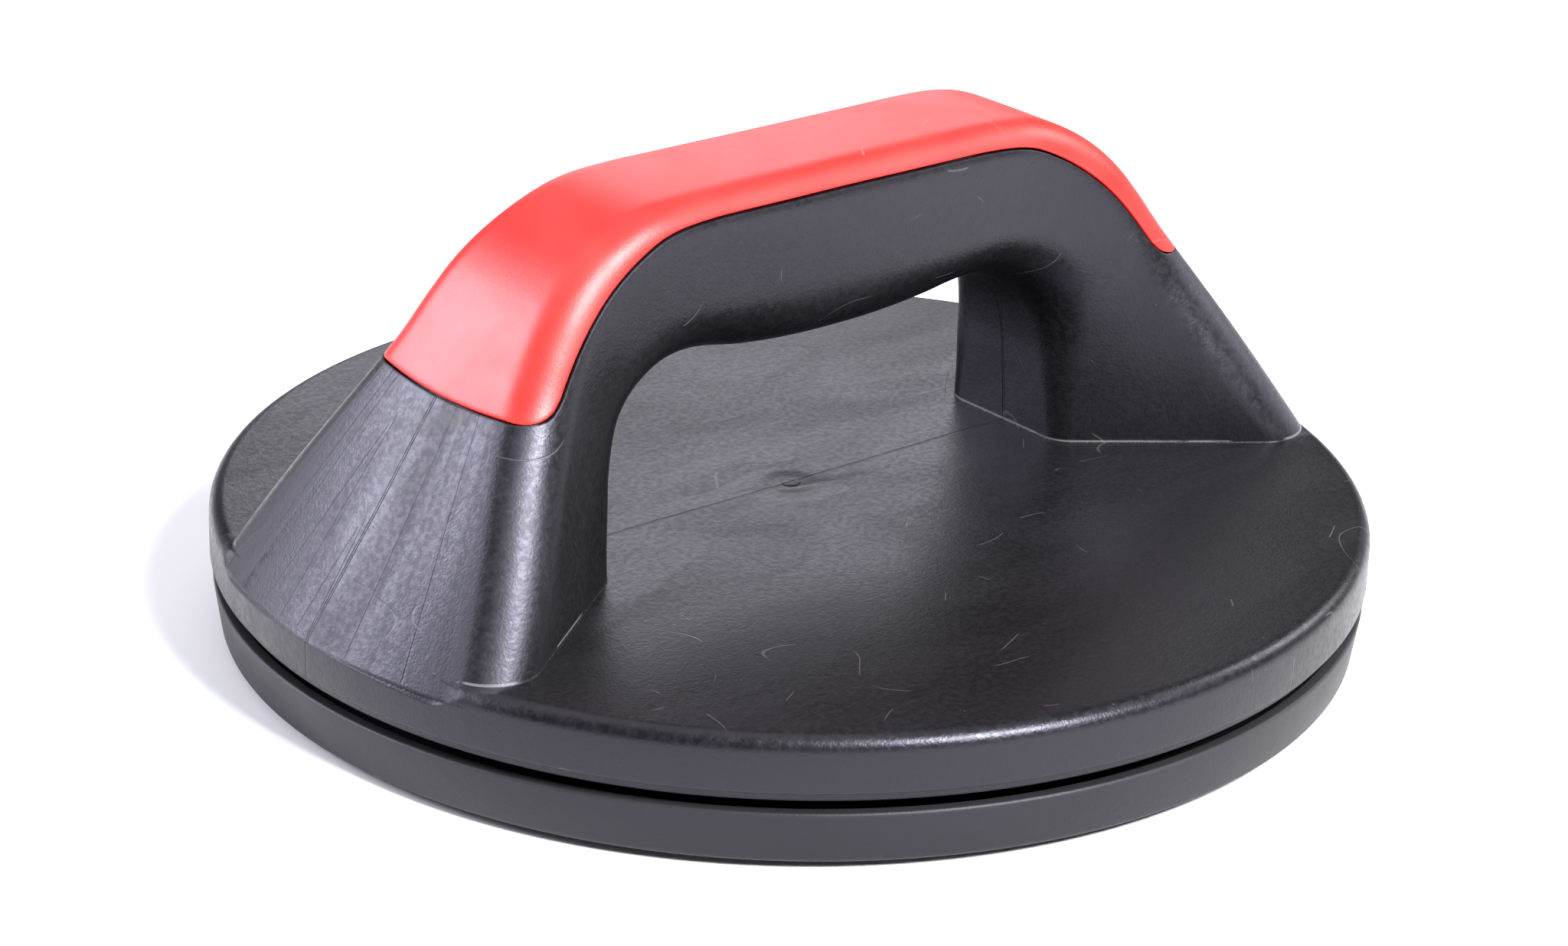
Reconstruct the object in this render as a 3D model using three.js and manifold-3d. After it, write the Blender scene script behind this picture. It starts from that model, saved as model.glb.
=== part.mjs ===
// Rotating push-up handle, built as an assembly of separate pieces.
// Millimetres, +Z up, the grip runs along X, the floor is z = 0.
import * as THREE from 'three';
import { mergeVertices } from 'three/addons/utils/BufferGeometryUtils.js';
import Module from 'manifold-3d';

const wasm = await Module();
wasm.setup();

// ---------- driving dimensions ----------
const DISC_R = 110;          // radius of the turntable rim
const TOP_Z = 93.7;          // top of the red cover
const PLATE_TOP = 25.6;      // flat top of the turntable
const PLATE_T = 2.8;         // thickness of the turntable plate and rim
const LIP_Z = 15.1;          // lower edge of the turntable rim
const SKIRT_Z = 13.4;        // lower edge of the recessed band under the rim
const RIM_ROUND = 3;         // rounding between rim and plate

const BASE_Z = 1.5;          // underside of the base
const BASE_TOP = 11.4;       // upper edge of the base wall
const BASE_R = [108.2, 109.6];
const BASE_FLOOR = 4.5;      // inside floor of the base
const WALL = 2.5;

const RING_R = [86, 100];    // rubber floor ring
const RING_TOP = 2.7;
const GAP = 0.3;             // clearance between neighbouring pieces

const BALL_R = 4;
const BALL_COUNT = 16;
const PITCH_R = 66;          // circle the balls run on
const BALL_Z = 12.7;
const RACE_HALF = 7;         // half width of a race
const RACE_NEAR = 3.4;       // distance of a race's face from the ball centres
const RACE_FAR = 5.8;        // distance of a race's back from the ball centres
const GROOVE_R = BALL_R + GAP;

const HUB_HOLE = 6.3;        // the base turns on the bush through this hole
const HUB_R = 14;
const HUB_Z = [5.8, 11.4];
const BOSS_Z = 12;           // lower end of the turntable's centre boss
const SCREW_R = 2.4;

const COVER_T = 2.6;         // thickness of the cover
const COVER_END = new THREE.Vector2(81.7, 62.3);
const COVER_END_HALF = 25;
const COVER_CORNER = 9;
const ARCH_WALL = 3.2;       // wall of the hollow arch
const PEG_X = 64;            // the cover's screw pegs
const PEG_R = 3.8;
const PEG_SEAT = 70;         // top of the arch's screw boss
const HEAD_SEAT = 47;        // where the cover screw's head bears on the arch

// Half of the arch, from foot to middle. Each row is one cross-section: a point on the outer
// face, a point on the inner face, half widths there, corner radii, the outer face's bow and
// how deep the cover reaches down the side.
const FACE_SLOPE = 0.7057;
const onFace = (z) => [107.85 - (z - 25.3) * FACE_SLOPE, z];
const BEND = { x: 36.8, z: TOP_Z - 44, r: 44 };
const onBend = (deg) => {
  const a = THREE.MathUtils.degToRad(deg);
  return [BEND.x + BEND.r * Math.cos(a), BEND.z + BEND.r * Math.sin(a)];
};
const ROWS = [
  { out: onFace(22.4), inn: [55, 22.4], half: [47.5, 15.5], round: [8.5, 5], bow: 0.0045, seam: 6.6 },
  { out: onFace(35), inn: [54.6, 31], half: [43, 15], round: [8.5, 7], bow: 0.0041, seam: 6.6 },
  { out: onFace(46), inn: [54.1, 38.5], half: [38, 15], round: [8.5, 9], bow: 0.0035, seam: 6.6 },
  { out: onFace(57), inn: [53.4, 45.5], half: [32, 15.2], round: [8.5, 11], bow: 0.0026, seam: 6.6 },
  { out: onFace(67), inn: [51.3, 52.7], half: [26.3, 15.5], round: [8.4, 12.5], bow: 0.0018, seam: 6.6 },
  { out: onBend(35.2), inn: [48.2, 56.9], half: [23, 15.8], round: [8.2, 13], bow: 0.0012, seam: 6.6 },
  { out: onBend(46), inn: [43.6, 60], half: [20.6, 16], round: [7.8, 13.2], bow: 0.0008, seam: 6.6 },
  { out: onBend(57), inn: [38.5, 61.7], half: [18.6, 16.1], round: [7.4, 13.2], bow: 0.0006, seam: 6.3 },
  { out: onBend(69), inn: [33, 62], half: [17.3, 16.2], round: [7, 13.2], bow: 0.0004, seam: 5.6 },
  { out: onBend(80), inn: [27.5, 61.3], half: [16.7, 16.2], round: [6.7, 13.2], bow: 0.0004, seam: 4.8 },
  { out: [33, TOP_Z], inn: [20, 59.9], half: [16.4, 16.2], round: [6.6, 13.2], bow: 0.0004, seam: 4.3 },
  { out: [16.5, TOP_Z], inn: [10, 58.9], half: [16.3, 16.2], round: [6.6, 13.2], bow: 0.0004, seam: 4.1 },
  { out: [0, TOP_Z], inn: [0, 58.6], half: [16.2, 16.2], round: [6.6, 13.2], bow: 0.0004, seam: 4 },
];
const MID = ROWS.length - 1;

const SHORTEST_EDGE = 0.1;
const DISC_SEGMENTS = 64;
const RACE_SEGMENTS = 48;

// ---------- materials ----------
const plastic = (color, roughness) => new THREE.MeshStandardMaterial({ color, roughness, metalness: 0 });
const metal = (color, roughness) => new THREE.MeshStandardMaterial({ color, roughness, metalness: 1 });
const MATERIALS = {
  black: plastic(0x1b1a1e, 0.42),
  baseBlack: plastic(0x18171a, 0.48),
  red: plastic(0xe8382f, 0.4),
  rubber: plastic(0x222224, 0.85),
  nylon: plastic(0xd9d6cc, 0.5),
  steel: metal(0xa9adb2, 0.3),
  ball: metal(0xc4c8cc, 0.12),
  zinc: metal(0xb6b9bc, 0.35),
};

// ---------- solids ----------
function toSolid(geometry) {
  const bare = geometry.index ? geometry.toNonIndexed() : geometry;
  bare.deleteAttribute('normal');
  bare.deleteAttribute('uv');
  const merged = mergeVertices(bare, 1e-4);
  const source = merged.index.array;
  const triangles = [];
  for (let i = 0; i < source.length; i += 3) {
    const [a, b, c] = [source[i], source[i + 1], source[i + 2]];
    if (a !== b && b !== c && c !== a) {
      triangles.push(a, b, c);
    }
  }
  const vertProperties = new Float32Array(merged.attributes.position.array);
  const mesh = new wasm.Mesh({ numProp: 3, vertProperties, triVerts: new Uint32Array(triangles) });
  return new wasm.Manifold(mesh);
}

// Edges shorter than SHORTEST_EDGE are closed up on the way.
function toGeometry(solid) {
  const mesh = solid.simplify(SHORTEST_EDGE).getMesh();
  const geometry = new THREE.BufferGeometry();
  geometry.setAttribute('position', new THREE.Float32BufferAttribute(mesh.vertProperties, 3));
  geometry.setIndex(Array.from(mesh.triVerts));
  return geometry;
}

// A solid of revolution about Z from [radius, z] points going anticlockwise.
function turned(points, segments = DISC_SEGMENTS) {
  const outline = points.map(([r, z]) => new THREE.Vector2(r, z));
  if (points[0][0] > 0) {
    outline.push(outline[0].clone());
  }
  const geometry = new THREE.LatheGeometry(outline, segments);
  geometry.rotateX(Math.PI / 2);
  return toSolid(geometry);
}

const tube = (inner, outer, low, high, segments) =>
  turned([[inner, low], [outer, low], [outer, high], [inner, high]], segments);

const rod = (radius, low, high, segments) => turned([[0, low], [radius, low], [radius, high], [0, high]], segments);

function block(size, centre, turn = 0) {
  const geometry = new THREE.BoxGeometry(...size);
  geometry.translate(...centre);
  geometry.rotateZ(turn);
  return toSolid(geometry);
}

// Points of a quarter-like arc, from angle a to angle b in degrees.
function arcPoints(cx, cz, radius, a, b, steps) {
  return Array.from({ length: steps + 1 }, (_, i) => {
    const angle = THREE.MathUtils.degToRad(a + ((b - a) * i) / steps);
    return [cx + radius * Math.cos(angle), cz + radius * Math.sin(angle)];
  });
}

// A closed solid through a list of loops that all have the same number of points.
function loft(loops) {
  const count = loops[0].length;
  const positions = loops.flat().flatMap((p) => [p.x, p.y, p.z]);
  const index = [];
  for (let k = 0; k < loops.length - 1; k += 1) {
    for (let i = 0; i < count; i += 1) {
      const j = (i + 1) % count;
      const [a, b, c, d] = [k * count + i, k * count + j, (k + 1) * count + j, (k + 1) * count + i];
      index.push(a, b, c, a, c, d);
    }
  }
  for (const [k, flip] of [[0, true], [loops.length - 1, false]]) {
    const centre = new THREE.Vector3();
    loops[k].forEach((p) => centre.addScaledVector(p, 1 / count));
    const hub = positions.length / 3;
    positions.push(centre.x, centre.y, centre.z);
    for (let i = 0; i < count; i += 1) {
      const [a, b] = [k * count + i, k * count + ((i + 1) % count)];
      index.push(hub, flip ? b : a, flip ? a : b);
    }
  }
  const geometry = new THREE.BufferGeometry();
  geometry.setAttribute('position', new THREE.Float32BufferAttribute(positions, 3));
  geometry.setIndex(index);
  return toSolid(geometry);
}

// ---------- the arch's cross-sections ----------
const mirrored = ROWS.slice(0, MID).reverse().map((row) => ({
  ...row,
  out: [-row.out[0], row.out[1]],
  inn: [-row.inn[0], row.inn[1]],
}));
const ALL_ROWS = [...ROWS, ...mirrored];
const spline = (pick) => new THREE.SplineCurve(ALL_ROWS.map((row) => new THREE.Vector2(...pick(row))));
const outerLine = spline((row) => row.out);
const innerLine = spline((row) => row.inn);
const halfWidths = spline((row) => row.half);
const cornerRadii = spline((row) => row.round);
const bowAndSeam = spline((row) => [row.bow, row.seam]);
const lastRow = ALL_ROWS.length - 1;

// Arc points that round the corner b between a and c.
function roundedCorner(a, b, c, radius, steps) {
  const toA = a.clone().sub(b).normalize();
  const toC = c.clone().sub(b).normalize();
  const half = Math.acos(THREE.MathUtils.clamp(toA.dot(toC), -1, 1)) / 2;
  const reach = radius / Math.tan(half);
  const centre = b.clone().addScaledVector(toA.clone().add(toC).normalize(), radius / Math.sin(half));
  const from = b.clone().addScaledVector(toA, reach).sub(centre);
  const sweep = Math.PI - 2 * half;
  const sign = Math.sign(from.x * toA.y - from.y * toA.x) || 1;
  return Array.from({ length: steps + 1 }, (_, i) => {
    const angle = (-sign * sweep * i) / steps;
    return centre.clone().add(from.clone().rotateAround(new THREE.Vector2(), angle));
  });
}

// Half of a cross-section as [side, depth] points, from the middle of the outer face to the
// middle of the inner face, moved inwards by inset.
function halfOutline(row, inset, steps) {
  const t = row / lastRow;
  const outer = outerLine.getPoint(t);
  const inner = innerLine.getPoint(t);
  const half = halfWidths.getPoint(t);
  const radii = cornerRadii.getPoint(t);
  const bow = bowAndSeam.getPoint(t).x;
  const depth = outer.distanceTo(inner);
  const wide = half.x - inset * 1.1;
  const narrow = half.y - inset * 1.1;
  const onOuter = (y) => new THREE.Vector2(y, bow * y * y + inset);
  const a = onOuter(wide * 0.6);
  const b = onOuter(wide);
  const c = new THREE.Vector2(narrow, depth - inset);
  const d = new THREE.Vector2(0, depth - inset);
  const points = [
    onOuter(0),
    onOuter(wide * 0.3),
    a,
    ...roundedCorner(a, b, c, Math.max(radii.x - inset, 1.5), steps),
    ...roundedCorner(b, c, d, Math.max(Math.min(radii.y - inset, narrow * 0.95), 1.5), steps),
    d,
  ];
  return { points, outer, direction: inner.clone().sub(outer).normalize() };
}

// The part of an outline that is nearer the outer face than cut, as a fixed number of points.
function upToDepth(points, cut, count) {
  const kept = [points[0]];
  for (let i = 1; i < points.length; i += 1) {
    const [p, q] = [points[i - 1], points[i]];
    if (q.y >= cut) {
      kept.push(p.clone().lerp(q, (cut - p.y) / (q.y - p.y)));
      break;
    }
    kept.push(q);
  }
  const lengths = kept.map((p, i) => (i ? p.distanceTo(kept[i - 1]) : 0));
  const total = lengths.reduce((sum, value) => sum + value, 0);
  return Array.from({ length: count }, (_, k) => {
    let rest = (total * k) / (count - 1);
    let i = 1;
    while (i < kept.length - 1 && rest > lengths[i]) {
      rest -= lengths[i];
      i += 1;
    }
    return kept[i - 1].clone().lerp(kept[i], Math.min(rest / lengths[i], 1));
  });
}

// A full loop in space from half an outline.
function loopAt({ points, outer, direction }) {
  const place = (p, side) => new THREE.Vector3(
    outer.x + direction.x * p.y, side * p.x, outer.y + direction.y * p.y);
  const right = points.map((p) => place(p, 1));
  const left = points.filter((p) => p.x > 1e-6).reverse().map((p) => place(p, -1));
  return [...right, ...left];
}

// Evenly spaced row numbers from one row to another.
const rowsBetween = (from, to, count) =>
  Array.from({ length: count + 1 }, (_, i) => from + ((to - from) * i) / count);

const archLoop = (row, inset = 0, steps = 4) => loopAt(halfOutline(row, inset, steps));

// The outer slice of the arch down to the seam: the space that the cover fills.
function capLoop(row, inset, below) {
  const section = halfOutline(row, inset, 6);
  const cut = bowAndSeam.getPoint(row / lastRow).y + below;
  return loopAt({ ...section, points: [...upToDepth(section.points, cut, 9), new THREE.Vector2(0, cut)] });
}

// ---------- the cover's rounded ends ----------
// A prism square to the post's face that keeps what lies above the cover's end line.
function endTrim(side, clearance) {
  const half = COVER_END_HALF + clearance;
  const straight = half - COVER_CORNER;
  const edge = (v) => {
    const over = Math.max(Math.abs(v) - straight, 0);
    const corner = COVER_CORNER - Math.sqrt(Math.max(COVER_CORNER ** 2 - over ** 2, 0));
    return 0.004 * v * v + corner - clearance;
  };
  const shape = new THREE.Shape();
  shape.moveTo(150, -half);
  for (let i = 0; i <= 24; i += 1) {
    const v = -half * Math.cos((Math.PI * i) / 24);
    shape.lineTo(edge(v), v);
  }
  shape.lineTo(150, half);
  const reach = 165;
  const geometry = new THREE.ExtrudeGeometry(shape, { depth: reach, bevelEnabled: false });
  geometry.translate(0, 0, 25 - reach);
  const normal = new THREE.Vector3(1, 0, FACE_SLOPE).normalize();
  const up = new THREE.Vector3(-normal.z, 0, normal.x);
  const across = new THREE.Vector3().crossVectors(normal, up);
  const frame = new THREE.Matrix4().makeBasis(up, across, normal);
  frame.setPosition(COVER_END.x, 0, COVER_END.y);
  geometry.applyMatrix4(frame);
  if (side < 0) {
    geometry.rotateZ(Math.PI);
  }
  return toSolid(geometry);
}

const trimmed = (solid, clearance) =>
  solid.intersect(endTrim(1, clearance)).intersect(endTrim(-1, clearance));

// ---------- sub-parts ----------
function floorRing() {
  const [inner, outer] = RING_R;
  return turned([
    [inner + 0.8, 0], [outer - 0.8, 0], [outer, 0.8], [outer, RING_TOP], [inner, RING_TOP], [inner, 0.8],
  ]);
}

function basePlate() {
  const [low, high] = BASE_R;
  let plate = turned([
    [0, BASE_Z], [low - 1, BASE_Z], [low, BASE_Z + 0.8], [high - 0.1, BASE_TOP - 0.6], [high - 0.6, BASE_TOP],
    [high - WALL, BASE_TOP], [high - WALL - 0.6, BASE_FLOOR], [0, BASE_FLOOR],
  ]);
  const inner = PITCH_R - RACE_HALF;
  const outer = PITCH_R + RACE_HALF;
  const seat = BALL_Z - RACE_FAR - GAP;
  plate = plate
    .add(tube(inner - 3, outer + 3, BASE_FLOOR - 1, seat + 2))
    .subtract(tube(inner - GAP, outer + GAP, seat, seat + 5))
    .add(tube(99.6, 101.6, BASE_FLOOR - 1, HUB_Z[1]))
    .add(rod(HUB_R, BASE_Z + 1, HUB_Z[1], 40));
  for (let i = 0; i < 12; i += 1) {
    const turn = (i * Math.PI) / 6;
    plate = plate
      .add(block([inner - 4 - HUB_R, 2, 3.5], [(inner - 1 + HUB_R) / 2, 0, BASE_FLOOR + 0.75], turn))
      .add(block([99 - outer, 2, 3.5], [(101 + outer) / 2, 0, BASE_FLOOR + 0.75], turn));
  }
  return plate
    .subtract(tube(RING_R[0] - GAP, RING_R[1] + GAP, BASE_Z - 1, RING_TOP + GAP))
    .subtract(rod(HUB_HOLE, 0, 20, 40))
    .subtract(rod(HUB_R - 1, 0, HUB_Z[0], 40));
}

// A flat ring with a groove for the balls; side is -1 under them and +1 over them.
function race(side) {
  const dip = Math.sqrt(GROOVE_R ** 2 - RACE_NEAR ** 2);
  const a = THREE.MathUtils.radToDeg(Math.atan2(RACE_NEAR, dip));
  const face = RACE_NEAR * side;
  const back = RACE_FAR * side;
  const groove = arcPoints(0, 0, GROOVE_R, side * (180 - a), side * a, 6);
  const points = [[-RACE_HALF, back], [-RACE_HALF, face], ...groove, [RACE_HALF, face], [RACE_HALF, back]];
  const placed = points.map(([r, z]) => [PITCH_R + r, BALL_Z + z]);
  return turned(side > 0 ? placed : placed.reverse(), RACE_SEGMENTS);
}

const ballAngle = (i) => (2 * Math.PI * (i + 0.5)) / BALL_COUNT;

function ball(i) {
  const geometry = new THREE.IcosahedronGeometry(BALL_R, 2);
  const a = ballAngle(i);
  geometry.translate(PITCH_R * Math.cos(a), PITCH_R * Math.sin(a), BALL_Z);
  return toSolid(geometry);
}

function ballCage() {
  let cage = tube(PITCH_R - 6, PITCH_R + 6, BALL_Z - 1, BALL_Z + 1, RACE_SEGMENTS);
  for (let i = 0; i < BALL_COUNT; i += 1) {
    const pocket = new THREE.CylinderGeometry(BALL_R + GAP, BALL_R + GAP, 6, 12);
    pocket.rotateX(Math.PI / 2);
    const a = ballAngle(i);
    pocket.translate(PITCH_R * Math.cos(a), PITCH_R * Math.sin(a), BALL_Z);
    cage = cage.subtract(toSolid(pocket));
  }
  return cage;
}

function turntableShell() {
  const inside = DISC_R - PLATE_T;
  const band = DISC_R - 1.4;
  let shell = turned([
    [0, PLATE_TOP - PLATE_T], [inside - 1, PLATE_TOP - PLATE_T], [inside - 1.4, SKIRT_Z], [band, SKIRT_Z],
    [band, LIP_Z], [DISC_R - 0.4, LIP_Z], [DISC_R, LIP_Z + 0.4],
    ...arcPoints(DISC_R - RIM_ROUND, PLATE_TOP - RIM_ROUND, RIM_ROUND, 0, 90, 4), [0, PLATE_TOP],
  ]);
  const inner = PITCH_R - RACE_HALF;
  const outer = PITCH_R + RACE_HALF;
  const seat = BALL_Z + RACE_FAR + GAP;
  const under = PLATE_TOP - PLATE_T + 1;
  shell = shell
    .add(tube(inner - 3, outer + 3, seat - 1.6, under))
    .subtract(tube(inner - GAP, outer + GAP, seat - 4, seat))
    .add(rod(9, BOSS_Z, under, 32));
  for (let i = 0; i < 12; i += 1) {
    const turn = ((i + 0.5) * Math.PI) / 6;
    shell = shell
      .add(block([inner - 10, 2, 4], [(inner + 6) / 2, 0, under - 2], turn))
      .add(block([DISC_R - 4 - outer, 2, 4], [(DISC_R - 0.5 + outer) / 2, 0, under - 2], turn));
  }
  return shell.subtract(rod(SCREW_R + GAP, BOSS_Z - 1, 21, 20));
}

// The hollow inside one post, open below the plate.
function postHollow(side) {
  const ends = side > 0 ? [0, 2.7] : [lastRow, lastRow - 2.7];
  const loops = rowsBetween(ends[0], ends[1], 5).map((row) => archLoop(row, ARCH_WALL, 3));
  const skirt = loops[0].map((p) => p.clone().setZ(16));
  const all = [skirt, ...loops];
  return loft(side > 0 ? all : all.reverse());
}

function screwBoss(side) {
  return rod(5, HEAD_SEAT, PEG_SEAT, 16).translate([side * PEG_X, 0, 0]);
}

function topHousing() {
  const arch = loft(rowsBetween(0, lastRow, 40).map((row) => archLoop(row, 0, 3)));
  const recess = loft(rowsBetween(2.6, lastRow - 2.6, 26).map((row) => capLoop(row, -1, GAP)));
  const channel = loft(rowsBetween(3.7, lastRow - 3.7, 20).map((row) => archLoop(row, ARCH_WALL, 3)));
  let housing = turntableShell()
    .add(arch)
    .subtract(trimmed(recess, GAP))
    .subtract(channel);
  for (const side of [1, -1]) {
    const core = arch.intersect(screwBoss(side));
    housing = housing
      .subtract(postHollow(side))
      .add(core)
      .subtract(rod(4, 34, HEAD_SEAT, 20).translate([side * PEG_X, 0, 0]))
      .subtract(rod(1.8, 40, PEG_SEAT + 2, 12).translate([side * PEG_X, 0, 0]));
  }
  return housing;
}

function gripCover() {
  const rows = rowsBetween(2.6, lastRow - 2.6, 30);
  const cap = loft(rows.map((row) => capLoop(row, 0, 0)));
  const space = loft(rows.map((row) => archLoop(row, COVER_T, 3)));
  let cover = trimmed(cap, 0);
  cover = cover.subtract(trimmed(space, -COVER_T));
  const core = loft(rows.map((row) => archLoop(row, COVER_T / 2, 3)));
  for (const side of [1, -1]) {
    const peg = rod(PEG_R, PEG_SEAT + GAP, TOP_Z, 16).translate([side * PEG_X, 0, 0]);
    cover = cover
      .add(peg.intersect(core))
      .subtract(rod(1.8, 60, PEG_SEAT + 7, 12).translate([side * PEG_X, 0, 0]));
  }
  return cover;
}

function coverScrew(side) {
  const under = HEAD_SEAT - GAP;
  const tip = PEG_SEAT + 6.4;
  const profile = [
    [0, under - 3], [2.6, under - 3], [3.2, under - 2.3], [3.2, under], [1.5, under], [1.5, tip - 0.8], [0, tip],
  ];
  return turned(profile, 16).translate([side * PEG_X, 0, 0]);
}

function pivotScrew() {
  return turned([[0, 1.9], [4, 1.9], [5, 2.8], [5, 3.8], [SCREW_R, 3.8], [SCREW_R, 19.6], [0, 20.6]], 24);
}

// ---------- assembly ----------
const handle = new THREE.Group();
handle.name = 'push_up_handle';

function addPart(name, solid, material) {
  const mesh = new THREE.Mesh(toGeometry(solid), material);
  mesh.name = name;
  handle.add(mesh);
}

addPart('floor_ring', floorRing(), MATERIALS.rubber);
addPart('base_plate', basePlate(), MATERIALS.baseBlack);
addPart('lower_race', race(-1), MATERIALS.steel);
addPart('ball_cage', ballCage(), MATERIALS.nylon);
for (let i = 0; i < BALL_COUNT; i += 1) {
  addPart(`ball_${String(i + 1).padStart(2, '0')}`, ball(i), MATERIALS.ball);
}
addPart('upper_race', race(1), MATERIALS.steel);
addPart('top_housing', topHousing(), MATERIALS.black);
addPart('grip_cover', gripCover(), MATERIALS.red);
addPart('cover_screw_right', coverScrew(1), MATERIALS.zinc);
addPart('cover_screw_left', coverScrew(-1), MATERIALS.zinc);
addPart('pivot_bush', tube(SCREW_R + GAP, HUB_HOLE - GAP, 5.6, 11.7, 32), MATERIALS.nylon);
addPart('pivot_washer', tube(SCREW_R + GAP, 11.5, 4.1, 5.3, 32), MATERIALS.zinc);
addPart('pivot_screw', pivotScrew(), MATERIALS.zinc);

export default handle;
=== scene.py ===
"""Rotating push-up handle: fine meshes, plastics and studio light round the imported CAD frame.

Lengths in the shape code are millimetres in the CAD frame; MM turns them into scene metres.
"""

import itertools
import math

import bmesh
import bpy
import numpy as np
from mathutils import Matrix, Vector
from mathutils.kdtree import KDTree


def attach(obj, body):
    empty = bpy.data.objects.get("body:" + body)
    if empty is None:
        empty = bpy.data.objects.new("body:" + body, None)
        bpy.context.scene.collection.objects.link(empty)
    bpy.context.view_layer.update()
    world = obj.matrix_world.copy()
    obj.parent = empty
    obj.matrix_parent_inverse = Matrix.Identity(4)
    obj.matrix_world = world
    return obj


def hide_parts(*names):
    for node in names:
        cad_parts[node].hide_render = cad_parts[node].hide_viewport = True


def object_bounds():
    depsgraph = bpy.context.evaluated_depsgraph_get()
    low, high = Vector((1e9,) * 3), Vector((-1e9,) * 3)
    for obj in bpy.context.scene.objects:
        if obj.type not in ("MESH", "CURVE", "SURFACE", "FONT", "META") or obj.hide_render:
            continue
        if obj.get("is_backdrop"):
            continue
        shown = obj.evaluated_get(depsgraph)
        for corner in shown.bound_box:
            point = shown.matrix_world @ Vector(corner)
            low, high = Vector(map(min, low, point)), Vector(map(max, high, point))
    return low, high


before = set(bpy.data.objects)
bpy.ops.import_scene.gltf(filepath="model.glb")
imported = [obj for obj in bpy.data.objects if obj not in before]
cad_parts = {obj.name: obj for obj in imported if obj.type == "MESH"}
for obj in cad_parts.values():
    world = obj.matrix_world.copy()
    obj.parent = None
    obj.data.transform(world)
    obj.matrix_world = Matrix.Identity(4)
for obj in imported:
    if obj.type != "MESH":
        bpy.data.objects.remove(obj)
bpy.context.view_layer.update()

MM = 0.001

# ---------- driving dimensions, as in the CAD ----------
DISC_R = 110.0
TOP_Z = 93.7
PLATE_TOP = 25.6
PLATE_T = 2.8
LIP_Z = 15.1
SKIRT_Z = 13.4
BAND_IN = 1.4           # how far the band under the rim is set back
RIM_ROUND = 3.0
BASE_Z = 1.5
BASE_TOP = 11.4
BASE_LOW_R = 108.2
BASE_HIGH_R = 109.6
BASE_FLOOR = 4.5
WALL = 2.5
RIB_R = (99.6, 101.6)   # the ring-shaped rib inside the base
RING_R = (86.0, 100.0)
RING_TOP = 2.7
GAP = 0.3
PITCH_R = 66.0
BALL_Z = 12.7
RACE_HALF = 7.0
RACE_FAR = 5.8
HUB_HOLE = 6.3
HUB_R = 14.0
HUB_Z = (5.8, 11.4)
BOSS_R = 9.0
BOSS_Z = 12.0
SEAT_WALL = 3.0         # of the seats that hold the races
SCREW_R = 2.4
SCREW_TOP = 20.6
HEAD_R = 5.0
HEAD_Z = (1.9, 3.8)
SLOT = (5.2, 1.05, 3.0) # one of the two slots of the screw's cross recess
COVER_T = 2.4
COVER_END = (81.7, 62.3)
COVER_END_HALF = 25.0
COVER_CORNER = 7.0
COVER_GAP = 0.4         # the dark gap round the cover
FACE_X = 107.85         # the posts' outer faces at the height FACE_Z
FACE_Z = 25.3
FACE_SLOPE = 0.7057
BEND_R = 44.0           # the bend from a post's outer face to the grip's top
BEND_X = 36.8
FOOT_Z = 22.4           # the lowest section of the arch, inside the plate
FACE_STEPS = 12         # steps across half the outer face of a section
CORNER_STEPS = 14       # steps round the corner beside it
PAINTED_HIGHLIGHT_PEAK = 6         # the step of that corner where its mark, the painted highlight, is strongest
PAINTED_HIGHLIGHT_REACH = 8        # steps over which that painted highlight fades
MARK_REACH = 0.0016     # metres from a section's point to a mesh point that takes its mark
ARCH_SECTIONS = 193


def on_face(z):
    return (FACE_X - (z - FACE_Z) * FACE_SLOPE, z)


def on_bend(degrees):
    a = math.radians(degrees)
    return (BEND_X + BEND_R * math.cos(a), TOP_Z - BEND_R + BEND_R * math.sin(a))


# One row per cross-section of half the arch, foot to middle: outer point, inner point, half
# widths, corner radii, the outer face's bow and how far down the side the cover reaches.
ROWS = [
    (on_face(FOOT_Z), (55, FOOT_Z), (47.5, 15.5), (8.5, 5), 0.0045, 6.6),
    (on_face(35), (54.6, 31), (43, 15), (8.5, 7), 0.0041, 6.6),
    (on_face(46), (54.1, 38.5), (38, 15), (8.5, 9), 0.0035, 6.6),
    (on_face(57), (53.4, 45.5), (32, 15.2), (8.5, 11), 0.0026, 6.6),
    (on_face(67), (51.3, 52.7), (26.3, 15.5), (8.4, 12.5), 0.0018, 6.6),
    (on_bend(35.2), (48.2, 56.9), (23, 15.8), (8.2, 13), 0.0012, 6.6),
    (on_bend(46), (43.6, 60), (20.6, 16), (7.8, 13.2), 0.0008, 6.6),
    (on_bend(57), (38.5, 61.7), (18.6, 16.1), (7.4, 13.2), 0.0006, 6.3),
    (on_bend(69), (33, 62), (17.3, 16.2), (7, 13.2), 0.0004, 5.6),
    (on_bend(80), (27.5, 61.3), (16.7, 16.2), (6.7, 13.2), 0.0004, 4.8),
    ((33, TOP_Z), (20, 59.9), (16.4, 16.2), (6.6, 13.2), 0.0004, 4.3),
    ((16.5, TOP_Z), (10, 58.9), (16.3, 16.2), (6.6, 13.2), 0.0004, 4.1),
    ((0, TOP_Z), (0, 58.6), (16.2, 16.2), (6.6, 13.2), 0.0004, 4.0),
]


def row_values(row, side):
    (ox, oz), (ix, iz), half, corner, bow, seam = row
    return [side * ox, oz, side * ix, iz, *half, *corner, bow, seam]


ARCH = np.array([row_values(r, 1) for r in ROWS] + [row_values(r, -1) for r in ROWS[-2::-1]])
LAST_ROW = len(ARCH) - 1


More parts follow.
